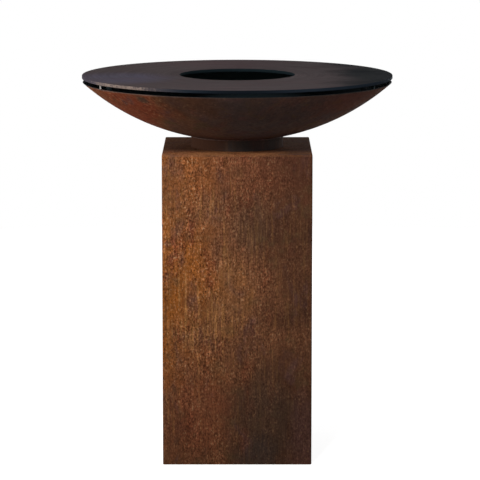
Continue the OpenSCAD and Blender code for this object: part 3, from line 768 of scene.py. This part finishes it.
class PLANCHA_OT_finishes(bpy.types.Operator):
    """Make the finishes: rust, soot, seasoned steel, bright steel, polymer and weld metal"""

    bl_idname = "plancha.finishes"
    bl_label = "Finishes"

    def execute(self, context):
        tones = context.scene.plancha_colours
        front = -HALF_SIDE
        rust_finish("rust_pedestal", tones, painted_shades=[
            # Painted shade: the front face darkens to the right, towards the bottom and towards the top.
            ("across", -0.24, 0.24, 0.86), ("z", 0.46, 0.02, 0.58), ("z", 0.42, 0.84, 0.30),
        ], marks=[
            ((0.040, front, 0.65), 0.07, 0.11, tones.rust_moss, 0.35),
            ((0.070, front, 0.12), 0.12, 0.19, tones.rust_moss, 0.48),
            ((0.045, front, 0.02), 0.09, 0.08, tones.dark_scale_and_shade, 0.40),
            ((-0.110, front, 0.15), 0.12, 0.18, tones.rust_red, 0.35),
            ((-0.020, front, 0.47), 0.08, 0.14, tones.rust_ochre, 0.18),
            ((0.050, front, 0.84), 0.30, 0.15, tones.rust_red, 0.22),
            # Painted light and shade: a lighter top-left corner and a darker top-right corner.
            ((-0.130, front, 0.84), 0.12, 0.13, tones.rust_orange, 0.35),
            ((0.160, front, 0.85), 0.13, 0.13, tones.rust_umber, 0.40),
            ((0.180, front, 0.05), 0.06, 0.22, tones.rust_plum, 0.45),
        ])
        # The top: its light front strip is painted light; it is painted darker at the rounded front edge,
        # towards the back and to the right, and its back-left corner takes a painted shadow of the bowl.
        rust_finish("rust_top", tones, run=1.0, aged=-0.1, contrast=0.7, fresh=tones.painted_light_strip, painted_shades=[
            ("y", front + 3 * MM, front + 0.5 * MM, 0.45), ("y", -0.170, -0.070, 0.60),
            ("x", 0.00, 0.20, 0.62),
        ], marks=[
            ((-0.205, -0.100, 0.888), 0.130, 0.130, tones.rust_umber, 0.75),
        ])
        # Painted light and shade: the bowl is red where lit on the left and darkens towards grey to the
        # right; its rim takes a painted highlight.
        rust_finish("rust_bowl", tones, grain=7 * MM, run=1.5, aged=0.05, contrast=0.38, patchy=1.25,
                    fresh=tones.rust_red, old=tones.grey_rust_and_shade, brim=RIM_TOP, painted_shades=[
            ("x", -0.245, -0.165, 0.66), ("x", -0.15, 0.02, 0.62),
        ], marks=[
            # Painted shadow of the plate: a darker band along the top of the bowl.
            ((-0.130, -0.370, 1.000), 0.150, 0.060, tones.rust_umber * 0.9, 0.60),
            ((0.030, -0.400, 1.000), 0.120, 0.035, tones.dark_scale_and_shade, 0.45),
            # Painted light: a paler low band at the front of the bowl, for light thrown up onto it.
            ((0.040, -0.220, 0.930), 0.170, 0.045, tones.pale_dust_and_light, 0.45),
            ((-0.243, -0.313, 0.998), 0.030, 0.022, tones.rust_moss, 0.80),
            ((-0.207, -0.283, 0.965), 0.075, 0.055, tones.rust_red, 0.55),
            ((0.300, -0.270, 0.990), 0.150, 0.080, tones.rust_red, 0.30),
        ])
        # The collar: dark scale, painted darker still as the shade under the bowl, and paler at its upper
        # right as painted light.
        rust_finish("rust_collar", tones, aged=1.1, contrast=0.15, patchy=0.15, old=tones.dark_scale_and_shade, marks=[
            ((-0.110, -0.060, 0.855), 0.150, 0.150, tones.rust_umber * 0.85, 0.90),
            ((0.115, -0.060, 0.900), 0.120, 0.120, tones.pale_dust_and_light, 0.25),
        ])
        rust_finish("rust_inside", tones, run=1.2, aged=0.55, contrast=0.7)
        rust_finish("rust_hinges", tones, run=1.2, aged=0.8, contrast=0.7)
        soot_finish("soot_layer", tones, ashes=0.85)
        seasoned_finish("seasoned_plate", tones, context.scene.plancha_plate.opening)
        steel_finish("turned_steel", tones, tones.steel)
        steel_finish("dull_pins", tones, tones.pin, metallic=0.0, specular=0.1, right_shade=1.0)
        polymer_finish("black_polymer", tones)
        weld_finish("weld_metal", tones)
        return {"FINISHED"}


# Pedestal

class PLANCHA_OT_pedestal_shell(bpy.types.Operator):
    """Model the folded sheet of the pedestal: front, two sides and the strips turned in at the back"""

    bl_idname = "plancha.pedestal_shell"
    bl_label = "Pedestal Sheet"

    def execute(self, context):
        sizes = context.scene.plancha_pedestal
        half = HALF_SIDE
        opening = half - sizes.strip
        path = [(-opening, half), (-half, half), (-half, -half), (half, -half), (half, half), (opening, half)]
        shell = outline([(x, y, 0) for x, y in path], "pedestal_sheet")
        pick("verts", lambda v: abs(abs(v.co.x) - half) < NEAR)
        bpy.ops.mesh.bevel(offset=sizes.bend, segments=8, affect="VERTICES")
        pick_all()
        bpy.ops.mesh.extrude_region_move(TRANSFORM_OT_translate={"value": (0, 0, SHELL_TOP)})
        pick_all()
        bpy.ops.mesh.normals_make_consistent(inside=False)
        close_mesh()
        front = [p for p in shell.data.polygons if p.center.y < MM - half]
        if front[0].normal.y > 0:
            open_mesh(shell)
            pick_all()
            bpy.ops.mesh.flip_normals()
            close_mesh()
        folded(shell, sizes.sheet, sizes.cut_edge)
        finished(shell, "root", "rust_pedestal", "pedestal_shell")
        return {"FINISHED"}


class PLANCHA_OT_pedestal_top(bpy.types.Operator):
    """Model the top plate of the pedestal, with rounded edges, a drain and bolt holes"""

    bl_idname = "plancha.pedestal_top"
    bl_label = "Pedestal Top"

    def execute(self, context):
        sizes = context.scene.plancha_pedestal
        half = HALF_SIDE
        top = block("pedestal_lid", (-half, -half, SHELL_TOP), (half, half, PEDESTAL_TOP))
        round_edges(top, lambda e: abs(span(e).z) > MM, sizes.bend, 8)
        round_edges(top, lambda e: min(v.co.z for v in e.verts) > PEDESTAL_TOP - NEAR, sizes.top_round, 5)
        holes = [(sizes.drain, 96, (0, 0))]
        holes += [(sizes.bolt_hole, 32, place) for angle, place in thirds(sizes.bolt_circle)]
        over = 2 * MM
        for radius, sides, place in holes:
            cut(top, rod("drill", radius, SHELL_TOP - over, PEDESTAL_TOP + over, sides, place))
        finished(top, "root", "rust_top", "pedestal_top")
        return {"FINISHED"}


class PLANCHA_OT_pedestal_inside(bpy.types.Operator):
    """Ease the edges of the crosspieces at the back and of the base plate"""

    bl_idname = "plancha.pedestal_inside"
    bl_label = "Crosspieces and Base Plate"

    def execute(self, context):
        cut_edge = context.scene.plancha_pedestal.cut_edge
        eased_node("rear_header", cut_edge, "root", "rust_pedestal")
        eased_node("rear_sill", cut_edge, "root", "rust_pedestal")
        eased_node("base_plate", cut_edge, "root", "rust_inside")
        return {"FINISHED"}


class PLANCHA_OT_door(bpy.types.Operator):
    """Model the access door at the back, a sheet with four folded edges"""

    bl_idname = "plancha.door"
    bl_label = "Access Door"

    def execute(self, context):
        sizes = context.scene.plancha_pedestal
        door = block("access_door", DOOR_LOW, DOOR_HIGH)
        open_mesh(door)
        pick("faces", lambda f: f.normal.y < -0.9)
        bpy.ops.mesh.delete(type="FACE")
        close_mesh()
        round_edges(door, lambda e: min(v.co.y for v in e.verts) > DOOR_HIGH.y - NEAR, sizes.door_fold, 6)
        folded(door, sizes.door_sheet, sizes.cut_edge)
        knob = (low("door_knob") + high("door_knob")) / 2
        drill = rod("drill", 3 * MM, -20 * MM, 20 * MM, 32)
        cut(door, placed(drill, (knob.x, HALF_SIDE, knob.z), (math.pi / 2, 0, 0)))
        finished(door, "door", "rust_pedestal", "rear_door")
        return {"FINISHED"}


class PLANCHA_OT_hinges(bpy.types.Operator):
    """Ease the hinge leaves and turn the hinge pins"""

    bl_idname = "plancha.hinges"
    bl_label = "Hinges"

    def execute(self, context):
        eased_node("hinge_frame_leaves", 0.3 * MM, "root", "rust_hinges")
        eased_node("hinge_door_leaves", 0.3 * MM, "door", "rust_hinges")
        pins_low = low("hinge_pins")
        pins_high = high("hinge_pins")
        head = (pins_high.x - pins_low.x) / 2 / MM
        shank = 3
        tall = 72
        neck = tall - 2
        pin = turned("hinge_pin", in_mm(
            (0, 0), (shank - 0.5, 0), (shank, 0.5), (shank, neck), (head - 0.2, neck),
            (head, neck + 0.2), (head, neck + 0.9), (head - 0.5, neck + 1.5), (head - 1.6, neck + 1.9),
            (0, tall),
        ), 48)
        centre = ((pins_low.x + pins_high.x) / 2, (pins_low.y + pins_high.y) / 2)
        upper = twin(pin, (*centre, pins_high.z - tall * MM))
        lower = placed(pin, (*centre, pins_low.z))
        pins = joined([lower, upper], "hinge_pins_turned")
        finished(pins, "root", "turned_steel", "hinge_pins")
        return {"FINISHED"}


def socket_screw(name, shank, length_in, head, head_height):
    """A pan-head screw with a hexagon socket, along +Z from its head at the origin."""
    section = [
        (0, length_in), (shank - 0.3 * MM, length_in), (shank, length_in - 0.5 * MM), (shank, 0),
        (head, 0), (head, -head_height * 0.5), (head - 0.35 * MM, -head_height * 0.85),
        (head - 1.0 * MM, -head_height), (0, -head_height),
    ]
    screw = turned(name, section, 48)
    cut(screw, rod("key", head * 0.48, -head_height - MM, -head_height * 0.35, 6))
    return screw


INTO_DOOR = (-math.pi / 2, 0, 0)


class PLANCHA_OT_knob(bpy.types.Operator):
    """Turn the door's knob with its grip flutes, and model its screw"""

    bl_idname = "plancha.knob"
    bl_label = "Knob"

    def execute(self, context):
        sizes = context.scene.plancha_hardware
        knob_low = low("door_knob")
        knob_high = high("door_knob")
        centre = (knob_low + knob_high) / 2
        bore = 2.55
        boss = 7
        neck = 10
        rim = sizes.knob / MM
        out = (knob_high.y - knob_low.y) / MM
        steps = sizes.flutes * 6
        knob = turned("turned_knob", in_mm(
            (0, neck + 0.4), (bore, neck + 0.4), (bore, 0), (boss - 0.4, 0), (boss, 0.4),
            (boss, neck - 2), (boss + 0.6, neck - 0.6), (boss + 2, neck), (rim - 1, neck),
            (rim, neck + 1), (rim, out - 2.4), (rim - 0.7, out - 1), (rim - 2.2, out),
            (rim - 4.2, out), (rim - 4.6, out - 0.5), (3, out - 0.9), (0, out - 1.1),
        ), steps)
        open_mesh(knob)

        def in_flute(face):
            centre = face.calc_center_median()
            around = math.atan2(centre.y, centre.x) / FULL_TURN * steps
            outer = math.hypot(centre.x, centre.y) > sizes.knob - 0.3 * MM
            return outer and abs(face.normal.z) < 0.2 and math.floor(around) % 6 < 3

        pick("faces", in_flute)
        bpy.ops.mesh.extrude_region_shrink_fatten(TRANSFORM_OT_shrink_fatten={"value": -0.5 * MM})
        close_mesh()
        ease(knob, 0.12 * MM, segments=1, angle=50)
        placed(knob, (centre.x, knob_low.y, centre.z), INTO_DOOR)
        finished(knob, "door", "turned_steel", "door_knob")

        screw_low = low("door_knob_screw")
        screw_high = high("door_knob_screw")
        head_height = 2.5 * MM
        reach = screw_high.y - screw_low.y - head_height
        head = (screw_high.x - screw_low.x) / 2
        screw = socket_screw("knob_screw", 2.5 * MM, reach, head, head_height)
        placed(screw, (centre.x, screw_low.y + head_height, centre.z), INTO_DOOR)
        finished(screw, "door", "turned_steel", "door_knob_screw")
        return {"FINISHED"}


class PLANCHA_OT_magnet_catch(bpy.types.Operator):
    """Ease the catch's bracket and magnet block, and model its screws"""

    bl_idname = "plancha.magnet_catch"
    bl_label = "Magnet Catch"

    def execute(self, context):
        eased_node("catch_bracket", 0.4 * MM, "root", "rust_inside")
        eased_node("catch_magnet", 0.8 * MM, "root", "black_polymer", segments=3)
        screws_low = low("catch_screws")
        screws_high = high("catch_screws")
        head = 3.6 * MM
        head_height = 2 * MM
        reach = screws_high.y - screws_low.y - head_height
        screw = socket_screw("catch_screw", 2 * MM, reach, head, head_height)
        under_head = screws_low.y + head_height
        height = (screws_low.z + screws_high.z) / 2
        second = twin(screw, (screws_high.x - head, under_head, height), INTO_DOOR)
        first = placed(screw, (screws_low.x + head, under_head, height), INTO_DOOR)
        screws = joined([first, second], "catch_screws_turned")
        finished(screws, "root", "turned_steel", "catch_screws")
        return {"FINISHED"}


# Feet

def chamfered_hex(name, across_flats, bottom, top, both=False):
    """A hexagon whose corners are turned off at the top, and at the bottom too if both is set."""
    corner = across_flats / math.sqrt(3)
    turned_off = (corner - across_flats / 2) * 0.58
    inner = across_flats / 2 * 0.98
    prism = placed(rod(name, corner, bottom, top, 6), turn=(0, 0, math.pi / 2))
    section = [(corner + MM, top - turned_off), (inner, top), (0, top)]
    if both:
        section = [(0, bottom), (inner, bottom), (corner + MM, bottom + turned_off)] + section
    else:
        section = [(0, bottom - MM), (corner + MM, bottom - MM)] + section
    cut(prism, turned("chamfer", section, 96), "INTERSECT")
    return prism


class PLANCHA_OT_levelling_feet(bpy.types.Operator):
    """Model a levelling foot, its threaded stem and its weld nut, and copy them to the four corners"""

    bl_idname = "plancha.levelling_feet"
    bl_label = "Levelling Feet"

    def execute(self, context):
        sizes = context.scene.plancha_hardware
        radius = 24
        flange = 9
        room = flange + 0.3
        bore = sizes.foot_stem / MM + 0.05
        tall = written(high("foot_pad_front_left").z) / MM
        pad = turned("foot_pad_model", in_mm(
            (0, 0), (radius - 0.8, 0), (radius, 0.8), (radius, 1.6), (radius - 0.5, 2.0),
            (radius, 2.4), (radius, 3.4), (radius - 0.5, 4.0), (12.4, tall - 0.4), (11.4, tall),
            (bore + 0.5, tall), (bore, tall - 0.5), (bore, 7.3), (room, 7.3), (room, 2.7), (0, 2.7),
        ), 64)
        drive_top = written(high("foot_stem_front_left").z)
        drive_low = drive_top - 8 * MM
        collar = turned("stem_collar", in_mm(
            (0, 3), (flange - 0.4, 3), (flange, 3.4), (flange, 6.6), (flange - 0.4, 7), (0, 7),
        ), 48)
        thread = threaded("stem_thread", sizes.foot_stem, sizes.foot_pitch, 7 * MM, drive_low)
        drive = chamfered_hex("stem_drive", 7 * MM, drive_low, drive_top)
        stem = joined([collar, thread, drive], "foot_stem_model")

        nut_low = FLOOR_PLATE_TOP
        nut_top = written(high("foot_weld_nuts").z)
        nut = chamfered_hex("weld_nut", 17 * MM, nut_low, nut_top, both=True)
        inside, outside = nut_low / MM, nut_top / MM
        cut(nut, turned("funnel", in_mm(
            (0, inside - 1), (bore + 1.1, inside - 1), (bore + 0.6, inside), (bore, inside + 0.7),
            (bore, outside - 0.7), (bore + 0.6, outside), (bore + 1.1, outside + 1), (0, outside + 1),
        ), 64))
        bead = ring_bead("bead", 9.4 * MM, nut_low, sizes.weld * 0.7, sizes.ripple)

        nuts = []
        beads = []
        for corner, (side_x, side_y) in CORNERS.items():
            at = (side_x * FOOT_CENTRE, side_y * FOOT_CENTRE, 0)
            finished(twin(pad, at), "foot_" + corner, "black_polymer", "foot_pad_" + corner,
                     name="levelling_pad_" + corner)
            finished(twin(stem, at), "stem_" + corner, "turned_steel", "foot_stem_" + corner,
                     name="levelling_stem_" + corner)
            nuts.append(twin(nut, at))
            beads.append(twin(bead, at))
        finished(joined(nuts, "weld_nuts_chamfered"), "root", "turned_steel", "foot_weld_nuts")
        finished(joined(beads, "weld_beads_nuts"), "root", "weld_metal")
        discard(pad, stem, nut, bead)
        return {"FINISHED"}


# Bowl

def bowl_centre(sizes):
    """Height of the middle of the sphere that the bowl is cut from."""
    return PEDESTAL_TOP + sizes.rise + sizes.sphere


class PLANCHA_OT_collar(bpy.types.Operator):
    """Turn the collar under the bowl, cut to the bowl's curve, with its weld bead"""

    bl_idname = "plancha.collar"
    bl_label = "Bowl Collar"

    def execute(self, context):
        sizes = context.scene.plancha_bowl
        hardware = context.scene.plancha_hardware
        gap = 0.2 * MM
        eased = 0.4 * MM
        outer = sizes.collar
        inner = outer - sizes.collar_wall

        def under_bowl(radius):
            return bowl_centre(sizes) - math.sqrt((sizes.sphere + gap) ** 2 - radius ** 2)

        seat = [(radius, under_bowl(radius)) for radius in (outer, (outer + inner) / 2, inner)]
        section = [(outer - eased, PEDESTAL_TOP), (outer, PEDESTAL_TOP + eased), *seat,
                   (inner, PEDESTAL_TOP + eased), (inner + eased, PEDESTAL_TOP)]
        collar = turned("turned_collar", section, sizes.steps, ring=True)
        finished(collar, "root", "rust_collar", "bowl_collar")
        size = hardware.weld
        touch = outer + size * 0.2
        height = under_bowl(touch) - size * 0.25
        bead = ring_bead("weld_bead_collar", touch, height, size, hardware.ripple)
        finished(bead, "root", "weld_metal")
        return {"FINISHED"}


class PLANCHA_OT_fixings(bpy.types.Operator):
    """Ease the lugs inside the collar, and model the bolts and washers that hold them"""

    bl_idname = "plancha.fixings"
    bl_label = "Bowl Fixings"

    def execute(self, context):
        sizes = context.scene.plancha_hardware
        eased_node("bowl_lugs", 0.4 * MM, "root", "rust_inside")
        washer_low = low("bowl_washers").z
        washer_top = high("bowl_washers").z
        head = chamfered_hex("bolt_head", 13 * MM, -washer_low, -low("bowl_bolts").z)
        placed(head, turn=(math.pi, 0, 0))
        shank = threaded("bolt_thread", sizes.bolt, sizes.bolt_pitch, washer_low, high("bowl_bolts").z)
        bolt = joined([head, shank], "bolt_model")
        bore = sizes.bolt + 0.05 * MM
        brim = 8 * MM
        lip = 0.3 * MM
        washer = turned("washer_model", [
            (bore + lip, washer_low), (brim, washer_low), (brim, washer_top - lip),
            (brim - lip, washer_top), (bore, washer_top), (bore, washer_low + lip),
        ], 64, ring=True)
        places = list(thirds(context.scene.plancha_pedestal.bolt_circle))
        bolts = joined([twin(bolt, at, (0, 0, angle)) for angle, at in places], "bowl_bolts_threaded")
        washers = joined([twin(washer, at) for angle, at in places], "bowl_washers_turned")
        finished(bolts, "root", "turned_steel", "bowl_bolts")
        finished(washers, "root", "turned_steel", "bowl_washers")
        discard(bolt, washer)
        return {"FINISHED"}


class PLANCHA_OT_fire_bowl(bpy.types.Operator):
    """Spin the fire bowl: a cap of a sphere with an even wall, an eased rim and a drain hole"""

    bl_idname = "plancha.fire_bowl"
    bl_label = "Fire Bowl"

    def execute(self, context):
        sizes = context.scene.plancha_bowl
        centre = bowl_centre(sizes)
        outer = sizes.sphere
        inner = outer - sizes.sheet
        drop = centre - RIM_TOP
        rows = 48

        def arc(ball, first, last):
            """Points along a sphere's section between two radii."""
            start = math.asin(first / ball)
            stop = math.asin(last / ball)
            angles = [start + (stop - start) * row / rows for row in range(rows + 1)]
            return [(ball * math.sin(a), centre - ball * math.cos(a)) for a in angles]

        outer_rim = math.sqrt(outer ** 2 - drop ** 2)
        inner_rim = math.sqrt(inner ** 2 - drop ** 2)
        eased = sizes.rim_ease
        outside = arc(outer, sizes.drain, outer_rim - eased * 0.9)
        inside = arc(inner, sizes.drain, inner_rim - eased * 0.9)
        land = [(outer_rim - eased * 0.28, RIM_TOP - eased * 0.28), (outer_rim - eased * 1.1, RIM_TOP),
                (inner_rim + eased * 0.7, RIM_TOP), (inner_rim - eased * 0.2, RIM_TOP - eased * 0.3)]
        bowl = turned("spun_bowl", outside + land + inside[::-1], sizes.steps, ring=True)
        open_mesh(bowl)
        hub = Vector((0, 0, centre))
        wall = (outer + inner) / 2
        # The inside and the rim land take soot; on the rim land, under the plate, the soot is also painted
        # shade.
        pick("faces", lambda f: (f.calc_center_median() - hub).length < wall
             or f.calc_center_median().z > RIM_TOP - NEAR)
        finishes = ["rust_bowl", "soot_layer"]
        for finish in finishes:
            bowl.data.materials.append(bpy.data.materials[finish])
        bowl.active_material_index = 1
        bpy.ops.object.material_slot_assign()
        close_mesh()
        finished(bowl, "root", finishes, "fire_bowl", angle=30)
        return {"FINISHED"}


# Plate

class PLANCHA_OT_plancha_plate(bpy.types.Operator):
    """Turn the plancha plate, a flat ring with rounded outer edges and an eased fire opening"""

    bl_idname = "plancha.plancha_plate"
    bl_label = "Plancha Plate"

    def execute(self, context):
        sizes = context.scene.plancha_plate
        opening = sizes.opening
        reach = written(high("plancha_plate").y)
        edge = sizes.edge
        lip = sizes.lip
        part_lip = lip * 0.3
        under = PLATE_UNDER
        top = PLATE_TOP

        def quarter(centre_z, first):
            angles = [math.radians(first + 22.5 * k) for k in range(5)]
            return [(reach - edge + edge * math.cos(a), centre_z + edge * math.sin(a)) for a in angles]

        rows = [opening + (reach - opening) * k / 6 for k in range(1, 6)]
        section = [(r, under) for r in rows] + quarter(under + edge, -90)
        section += quarter(top - edge, 0) + [(r, top) for r in reversed(rows)]
        section += [(opening + lip, top), (opening + part_lip, top - part_lip), (opening, top - lip),
                    (opening, under + lip), (opening + part_lip, under + part_lip), (opening + lip, under)]
        plate = turned("turned_plate", section, sizes.steps, ring=True)
        finished(plate, "plate", "seasoned_plate", "plancha_plate", angle=30)
        return {"FINISHED"}


class PLANCHA_OT_standoffs(bpy.types.Operator):
    """Model the stand-off pins and the centring guides under the plate"""

    bl_idname = "plancha.standoffs"
    bl_label = "Pins and Guides"

    def execute(self, context):
        sizes = context.scene.plancha_plate
        hardware = context.scene.plancha_hardware
        bottom = low("plate_standoff_pins").z
        top = high("plate_standoff_pins").z
        radius = sizes.pin
        tip = 0.5 * MM
        pin = turned("pin_model", [
            (0, bottom), (radius - tip, bottom), (radius, bottom + tip), (radius, top - tip),
            (radius - 0.3 * MM, top), (0, top),
        ], 48)
        guide_low = low("plate_centring_guides").z
        guide_top = high("plate_centring_guides").z
        face = written(high("plate_centring_guides").y)
        inner = face - 4 * MM
        half = 15 * MM
        guide = block("guide_model", (inner, -half, guide_low), (face, half, guide_top))
        round_edges(guide, lambda e: abs(span(e).x) > MM and max(v.co.z for v in e.verts) < guide_low + MM,
                    4 * MM, 5)
        ease(guide, 0.4 * MM)
        end = half - MM
        bead = line_bead((inner, -end, guide_top), (inner, end, guide_top), hardware.weld, hardware.ripple)
        places = list(thirds(sizes.pin_circle))
        turns = [(0, 0, angle) for angle, at in places]
        pins = joined([twin(pin, at) for angle, at in places], "standoff_pins_turned")
        guides = joined([twin(guide, turn=turn) for turn in turns], "centring_guides_eased")
        # A known fault: a line bead stays in quaternion mode, so its turn has no effect, and all
        # three beads lie on one another at angle 0 instead of at the guides
        beads = joined([twin(bead, turn=turn) for turn in turns], "weld_beads_guides")
        finished(pins, "plate", "dull_pins", "plate_standoff_pins")
        finished(guides, "plate", "soot_layer", "plate_centring_guides")
        finished(beads, "plate", "weld_metal")
        discard(pin, guide, bead)
        return {"FINISHED"}


class PLANCHA_OT_weld_beads(bpy.types.Operator):
    """Lay the weld beads of the base plate, the top plate and the hinge leaves"""

    bl_idname = "plancha.weld_beads"
    bl_label = "Weld Beads"

    def execute(self, context):
        sizes = context.scene.plancha_hardware
        wall = HALF_SIDE - context.scene.plancha_pedestal.sheet
        stitches = (-0.13, -0.045, 0.045, 0.13)
        half = 15 * MM
        half_leaf = 20 * MM
        from_end = 35 * MM
        across = line_bead((-half, 0, 0), (half, 0, 0), sizes.weld, sizes.ripple)
        along = line_bead((0, -half, 0), (0, half, 0), sizes.weld, sizes.ripple)
        upright = line_bead((0, 0, -half_leaf), (0, 0, half_leaf), sizes.weld * 0.7, sizes.ripple)
        beads = []
        for height in (FLOOR_PLATE_TOP, SHELL_TOP):
            for place in stitches:
                beads.append(twin(across, (place, -wall, height)))
                beads += [twin(along, (side, place, height)) for side in (-wall, wall)]

        def leaf_beads(node, line):
            heights = (low(node).z + from_end, high(node).z - from_end)
            return [twin(upright, (line, HALF_SIDE, height)) for height in heights]

        beads += leaf_beads("hinge_frame_leaves", high("hinge_frame_leaves").x)
        door_beads = leaf_beads("hinge_door_leaves", low("hinge_door_leaves").x)
        finished(joined(door_beads, "weld_beads_door"), "door", "weld_metal")
        finished(joined(beads, "weld_beads_pedestal"), "root", "weld_metal")
        discard(across, along, upright)
        return {"FINISHED"}


# Studio

def seen_directly(tree):
    """1 for what the camera sees, straight or by way of gloss or glass, and 0 for other light."""
    path = add_node(tree, "LightPath", {}).node.outputs
    seen = path["Is Camera Ray"]
    for ray in ("Is Glossy Ray", "Is Transmission Ray"):
        seen = add_node(tree, "Math", {0: seen, 1: path[ray]}, operation="MAXIMUM")
    return seen


def floor_material(name, hidden, near, far):
    """White to the eye, with the object's shadow near it, dark where it is hidden under the object, and
    a plain grey floor to other light."""
    made = Finish(name, (near, near, near), 1.0, specular=0.0)
    reach = made.distance((0, 0, 0))
    open_air = made.step(reach, hidden * 0.95, hidden)
    strength = made.times(made.step(reach, near, far, 0.84, 1.0), open_air)
    paper = made.node("BsdfDiffuse", {"Color": (0.5, 0.5, 0.5)})
    glow = made.node("Emission", {"Strength": strength})
    white = made.node("AddShader", {0: paper, 1: glow})
    grey = made.node("BsdfDiffuse", {"Color": (0.2, 0.2, 0.2)})
    floor = made.node("MixShader", {0: seen_directly(made.tree), 1: grey, 2: white})
    feed(made.tree, made.tree.nodes["Material Output"].inputs["Surface"], floor)
    made.tree.nodes.remove(made.shader)
    return made.material


def lamp(name, place, aim, size, watts, warmth=(1, 1, 1)):
    """A soft square lamp that looks at a point."""
    data = bpy.data.lights.new(name, "AREA")
    data.shape = "SQUARE"
    data.size = size
    data.energy = watts
    data.color = warmth
    light = bpy.data.objects.new(name, data)
    bpy.context.scene.collection.objects.link(light)
    light.location = place
    light.visible_camera = False
    light.rotation_euler = (Vector(aim) - Vector(place)).to_track_quat("-Z", "Y").to_euler()


class PLANCHA_OT_stage(bpy.types.Operator):
    """Set up the floor, the lamps, the white surroundings and the camera"""

    bl_idname = "plancha.stage"
    bl_label = "Stage"

    def execute(self, context):
        scene = context.scene
        stage = scene.plancha_stage
        scene.view_settings.view_transform = "Standard"

        deselect()
        bpy.ops.mesh.primitive_circle_add(vertices=96, radius=4.0, fill_type="NGON", location=(0, 0, 0))
        floor = bpy.context.object
        floor.name = "studio_floor"
        floor.data.materials.append(floor_material("studio_white", HALF_SIDE - 5 * MM, 0.7, 2.2))

        world = bpy.data.worlds.new("studio_room")
        world.use_nodes = True
        scene.world = world
        tree = world.node_tree
        shown = {"Value": seen_directly(tree), "To Min": stage.room, "To Max": 1.0}
        room = tree.nodes["Background"].inputs
        feed(tree, room["Color"], (1, 1, 1))
        feed(tree, room["Strength"], add_node(tree, "MapRange", shown, "Result"))

        lamp("front_lamp", (-0.45, -2.2, 2.06), (0, -0.1, 0.7), 0.4, stage.front)
        lamp("left_lamp", (-2.4, -0.7, 1.15), (0, 0, 0.75), 0.8, stage.left, (1.0, 0.96, 0.91))
        lamp("right_lamp", (2.6, -2.2, 1.6), (0, 0, 0.6), 1.6, stage.right)
        lamp("rear_lamp", (1.7, 2.8, 1.3), (0, 0, 0.6), 1.6, stage.rear)

        data = bpy.data.cameras.new("photo_camera")
        data.sensor_width = 36.0
        data.lens = stage.lens
        data.clip_end = 100.0
        camera = bpy.data.objects.new("photo_camera", data)
        scene.collection.objects.link(camera)
        camera.location = (stage.camera_side, -stage.camera_back, stage.camera_height)
        camera.rotation_euler = (math.pi / 2 - stage.pitch, 0, 0)
        scene.camera = camera
        return {"FINISHED"}


# The add-on

OPERATORS = (
    PLANCHA_OT_stage,
    PLANCHA_OT_finishes,
    PLANCHA_OT_pedestal_shell,
    PLANCHA_OT_pedestal_top,
    PLANCHA_OT_pedestal_inside,
    PLANCHA_OT_door,
    PLANCHA_OT_hinges,
    PLANCHA_OT_knob,
    PLANCHA_OT_magnet_catch,
    PLANCHA_OT_levelling_feet,
    PLANCHA_OT_collar,
    PLANCHA_OT_fixings,
    PLANCHA_OT_fire_bowl,
    PLANCHA_OT_plancha_plate,
    PLANCHA_OT_standoffs,
    PLANCHA_OT_weld_beads,
)
SETTINGS = {
    "plancha_pedestal": PedestalSizes,
    "plancha_bowl": BowlSizes,
    "plancha_plate": PlateSizes,
    "plancha_hardware": HardwareSizes,
    "plancha_colours": FinishColours,
    "plancha_stage": StageSettings,
}


class PLANCHA_PT_panel(bpy.types.Panel):
    """The pieces and settings of the plancha fire bowl"""

    bl_idname = "PLANCHA_PT_panel"
    bl_label = "Plancha Fire Bowl"
    bl_space_type = "VIEW_3D"
    bl_region_type = "UI"
    bl_category = "Plancha"

    def draw(self, context):
        layout = self.layout
        for operator in OPERATORS:
            layout.operator(operator.bl_idname)
        for name in SETTINGS:
            group = getattr(context.scene, name)
            box = layout.box()
            box.label(text=name.replace("plancha_", "").capitalize())
            for setting in group.bl_rna.properties:
                if setting.identifier not in ("rna_type", "name"):
                    box.prop(group, setting.identifier)


def register():
    for name, group in SETTINGS.items():
        bpy.utils.register_class(group)
        setattr(bpy.types.Scene, name, PointerProperty(type=group))
    for shown in (*OPERATORS, PLANCHA_PT_panel):
        bpy.utils.register_class(shown)


def unregister():
    for shown in (PLANCHA_PT_panel, *reversed(OPERATORS)):
        bpy.utils.unregister_class(shown)
    for name, group in reversed(SETTINGS.items()):
        delattr(bpy.types.Scene, name)
        bpy.utils.unregister_class(group)


def main():
    register()
    for operator in OPERATORS:
        category, name = operator.bl_idname.split(".")
        getattr(getattr(bpy.ops, category), name)()


if __name__ == "__main__":
    main()
